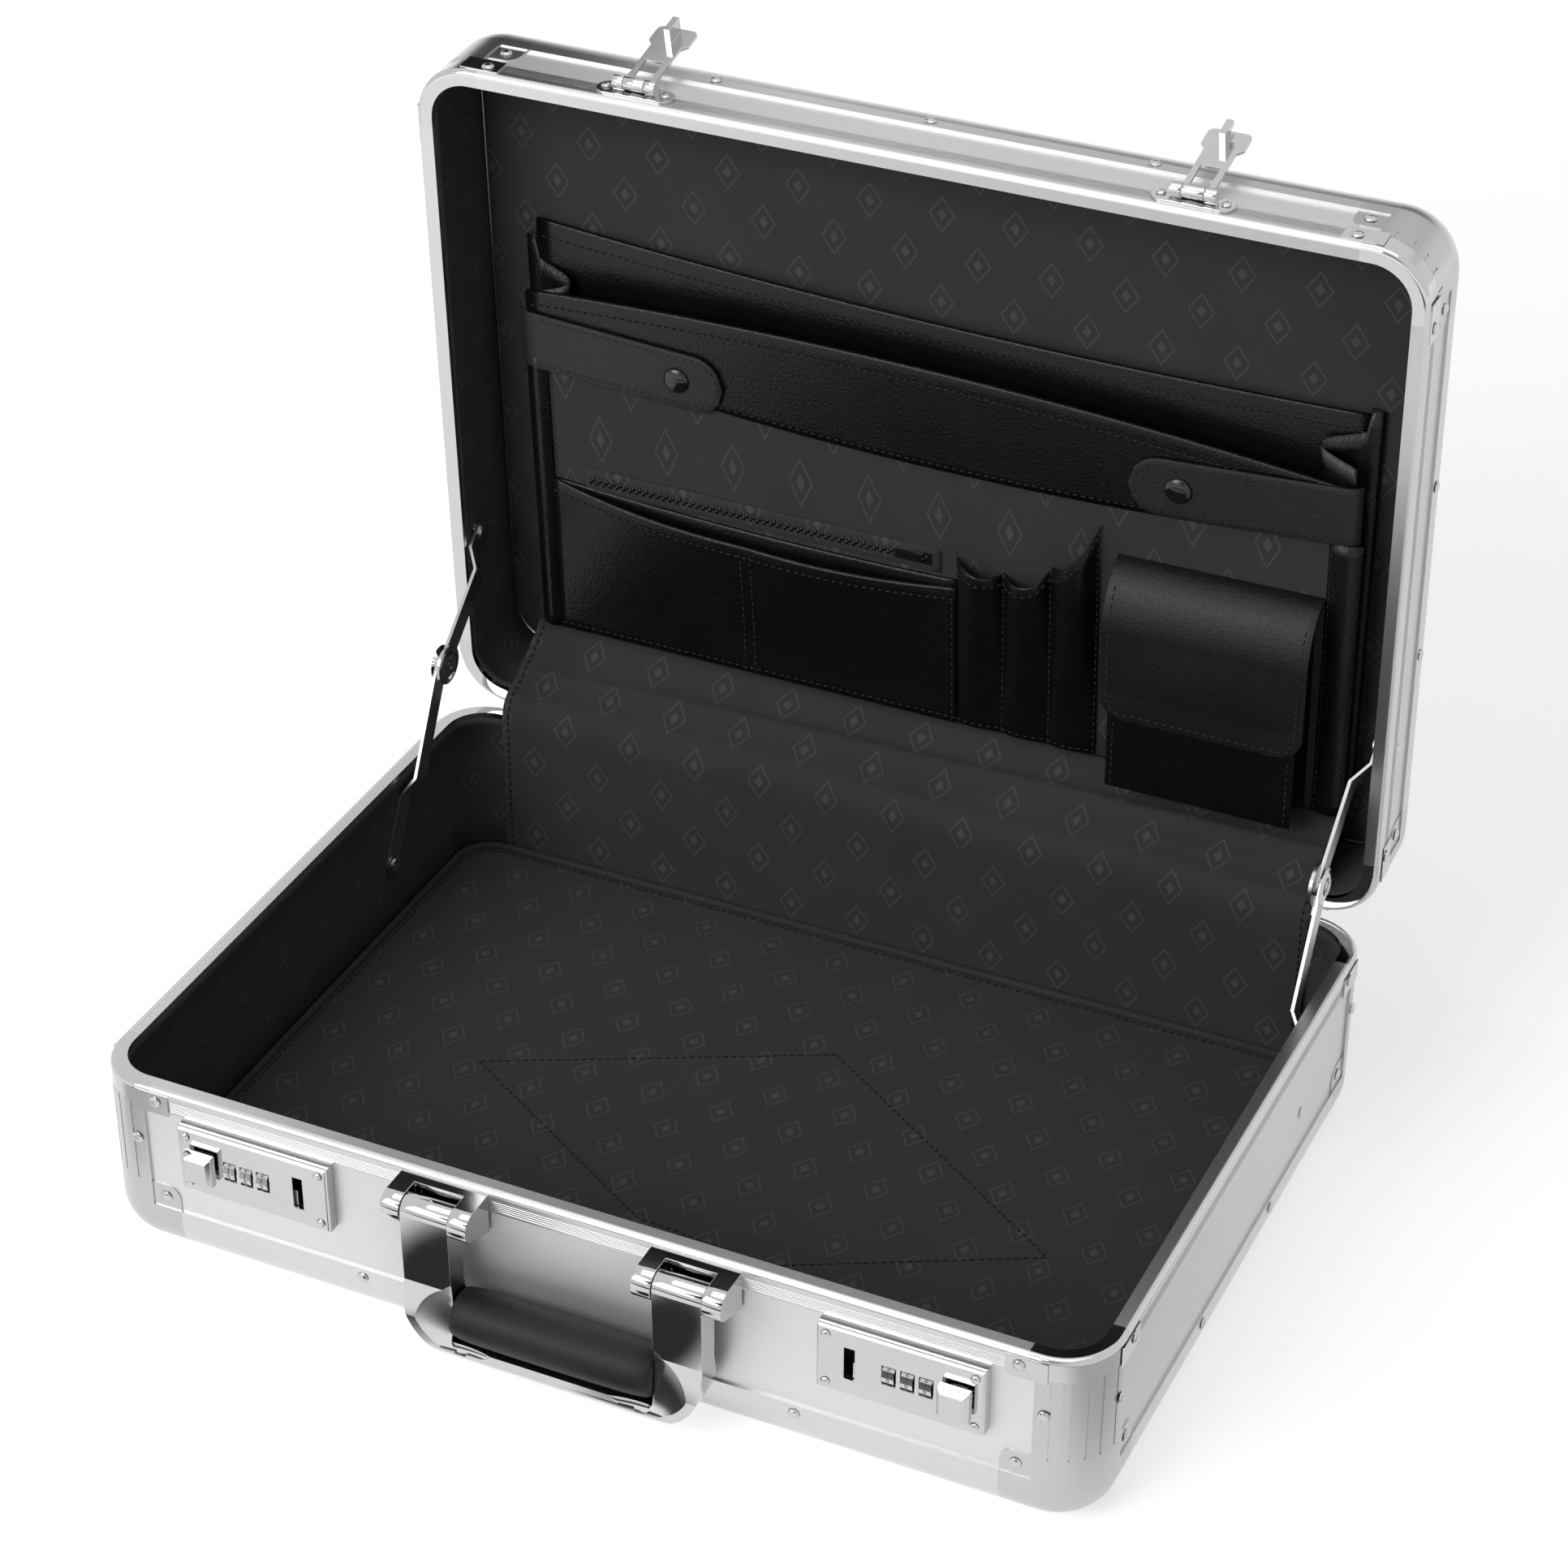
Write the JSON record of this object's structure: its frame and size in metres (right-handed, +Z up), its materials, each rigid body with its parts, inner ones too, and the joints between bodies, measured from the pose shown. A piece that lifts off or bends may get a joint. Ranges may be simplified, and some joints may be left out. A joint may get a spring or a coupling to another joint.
{
  "type": "attache_case",
  "caption": "Aluminium attache case shown open, with riveted edge profiles, combination locks, hasps, a swinging handle, folding lid stays and a leather lid organiser.",
  "frame": {"origin": "Middle of the base's footprint, on the surface that the closed bottom lies on.", "axes": "X along the handle side from left to right seen from the front, -Y towards the front with the handle and the locks, +Y towards the hinges, Z up."},
  "size_m": [0.4638, 0.4105, 0.4407],
  "materials": {
    "panel_aluminium": "brushed",
    "profile_aluminium": "satin anodised",
    "bright_metal": "polished",
    "plain_steel": "zinc plated",
    "dial_metal": "satin with black numerals",
    "lining_cloth": "woven black cloth",
    "black_leatherette": "fine grain"
  },
  "bodies": {
    "base": {"bottom_panel": "panel_aluminium", "base_wall_panels": "panel_aluminium", "base_edge_rails": "profile_aluminium", "base_corner_posts": "profile_aluminium", "base_corner_caps": "profile_aluminium", "base_mouth_rails": "profile_aluminium", "base_mouth_corners": "bright_metal", "base_rivets": "bright_metal", "base_wall_lining": "lining_cloth", "base_floor_pad": "lining_cloth", "hinge_base_leaves": "bright_metal", "hinge_pins": "bright_metal", "handle_brackets": "bright_metal", "handle_pins": "bright_metal", "lock_plates": "bright_metal", "lock_cases": "plain_steel", "lock_spring_left": "plain_steel", "lock_spring_right": "plain_steel", "hinge_apron": "lining_cloth"},
    "lid": {"lid_top_panel": "panel_aluminium", "lid_wall_panels": "panel_aluminium", "lid_edge_rails": "profile_aluminium", "lid_corner_posts": "profile_aluminium", "lid_corner_caps": "profile_aluminium", "lid_mouth_rails": "profile_aluminium", "lid_mouth_corners": "bright_metal", "lid_rivets": "bright_metal", "lid_wall_lining": "lining_cloth", "lid_top_pad": "lining_cloth", "hinge_lid_leaves": "bright_metal", "hasp_bases": "bright_metal", "organiser_divider": "black_leatherette", "organiser_front": "black_leatherette", "organiser_gussets": "lining_cloth", "card_pocket": "black_leatherette", "pen_pockets": "black_leatherette", "phone_pouch": "black_leatherette", "organiser_straps": "black_leatherette", "snap_buttons": "bright_metal", "zip_tape": "lining_cloth"},
    "handle": {"handle_frame": "bright_metal", "handle_grip": "black_leatherette"},
    "phone_flap": {"phone_pouch_flap": "black_leatherette"},
    "zip_slider": {"zip_slider": "bright_metal"},
    "stay_lower_left": {"stay_lower_left": "plain_steel"},
    "stay_upper_left": {"stay_upper_left": "plain_steel"},
    "button_left": {"lock_button_left": "bright_metal", "latch_bolt_left": "plain_steel"},
    "hasp_left": {"hasp_arm_left": "bright_metal"},
    "dial_left_1": {"dial_left_1": "dial_metal"},
    "dial_left_2": {"dial_left_2": "dial_metal"},
    "dial_left_3": {"dial_left_3": "dial_metal"},
    "stay_lower_right": {"stay_lower_right": "plain_steel"},
    "stay_upper_right": {"stay_upper_right": "plain_steel"},
    "button_right": {"lock_button_right": "bright_metal", "latch_bolt_right": "plain_steel"},
    "hasp_right": {"hasp_arm_right": "bright_metal"},
    "dial_right_1": {"dial_right_1": "dial_metal"},
    "dial_right_2": {"dial_right_2": "dial_metal"},
    "dial_right_3": {"dial_right_3": "dial_metal"}
  },
  "joints": [
    {"name": "lid_hinge", "type": "hinge", "parent": "base", "child": "lid", "pos_m": [0, 0.166, 0.09], "axis": [1, 0, 0], "range_deg": [0, 87.4], "deforming": ["hinge_apron"]},
    {"name": "handle_swing", "type": "hinge", "parent": "base", "child": "handle", "pos_m": [0, -0.178, 0.0805], "axis": [-1, 0, 0], "range_deg": [0, 170]},
    {"name": "stay_lower_left_pivot", "type": "hinge", "parent": "base", "child": "stay_lower_left", "pos_m": [-0.218, 0.08, 0.046], "axis": [1, 0, 0], "range_deg": [0, 69.26]},
    {"name": "stay_upper_left_pivot", "type": "hinge", "parent": "stay_lower_left", "child": "stay_upper_left", "pos_m": [-0.218, 0.12545, 0.13327], "axis": [1, 0, 0], "range_deg": [-122.58, 0]},
    {"name": "button_left_slide", "type": "slide", "parent": "base", "child": "button_left", "axis": [-1, 0, 0], "range_m": [0, 0.0035], "stiffness_N_per_m": 250, "springref_m": -0.004, "deforming": ["lock_spring_left"]},
    {"name": "hasp_left_swing", "type": "hinge", "parent": "lid", "child": "hasp_left", "pos_m": [-0.126, 0.15929, 0.42524], "axis": [1, 0, 0], "range_deg": [0, 170], "stiffness_Nm_per_rad": 0.01, "springref_deg": -28.65},
    {"name": "dial_left_1_turn", "type": "hinge", "parent": "base", "child": "dial_left_1", "pos_m": [-0.143, -0.166, 0.061], "axis": [1, 0, 0], "continuous": true},
    {"name": "dial_left_2_turn", "type": "hinge", "parent": "base", "child": "dial_left_2", "pos_m": [-0.151, -0.166, 0.061], "axis": [1, 0, 0], "continuous": true},
    {"name": "dial_left_3_turn", "type": "hinge", "parent": "base", "child": "dial_left_3", "pos_m": [-0.159, -0.166, 0.061], "axis": [1, 0, 0], "continuous": true},
    {"name": "stay_lower_right_pivot", "type": "hinge", "parent": "base", "child": "stay_lower_right", "pos_m": [0.218, 0.08, 0.046], "axis": [1, 0, 0], "range_deg": [0, 69.26]},
    {"name": "stay_upper_right_pivot", "type": "hinge", "parent": "stay_lower_right", "child": "stay_upper_right", "pos_m": [0.218, 0.12545, 0.13327], "axis": [1, 0, 0], "range_deg": [-122.58, 0]},
    {"name": "button_right_slide", "type": "slide", "parent": "base", "child": "button_right", "axis": [1, 0, 0], "range_m": [0, 0.0035], "stiffness_N_per_m": 250, "springref_m": -0.004, "deforming": ["lock_spring_right"]},
    {"name": "hasp_right_swing", "type": "hinge", "parent": "lid", "child": "hasp_right", "pos_m": [0.126, 0.15929, 0.42524], "axis": [1, 0, 0], "range_deg": [0, 170], "stiffness_Nm_per_rad": 0.01, "springref_deg": -28.65},
    {"name": "dial_right_1_turn", "type": "hinge", "parent": "base", "child": "dial_right_1", "pos_m": [0.143, -0.166, 0.061], "axis": [1, 0, 0], "continuous": true},
    {"name": "dial_right_2_turn", "type": "hinge", "parent": "base", "child": "dial_right_2", "pos_m": [0.151, -0.166, 0.061], "axis": [1, 0, 0], "continuous": true},
    {"name": "dial_right_3_turn", "type": "hinge", "parent": "base", "child": "dial_right_3", "pos_m": [0.159, -0.166, 0.061], "axis": [1, 0, 0], "continuous": true},
    {"name": "phone_flap_lift", "type": "hinge", "parent": "lid", "child": "phone_flap", "pos_m": [0.14, 0.19143, 0.2355], "axis": [-1, 0, 0], "range_deg": [0, 85]},
    {"name": "zip_slide", "type": "slide", "parent": "lid", "child": "zip_slider", "axis": [-1, 0, 0], "range_m": [0, 0.155]}
  ],
  "couplings": [
    {"joint": "stay_lower_left_pivot", "follows": "lid_hinge", "ratio": 0.79017},
    {"joint": "stay_upper_left_pivot", "follows": "lid_hinge", "ratio": -1.4002},
    {"joint": "stay_lower_right_pivot", "follows": "lid_hinge", "ratio": 0.79017},
    {"joint": "stay_upper_right_pivot", "follows": "lid_hinge", "ratio": -1.4002}
  ]
}
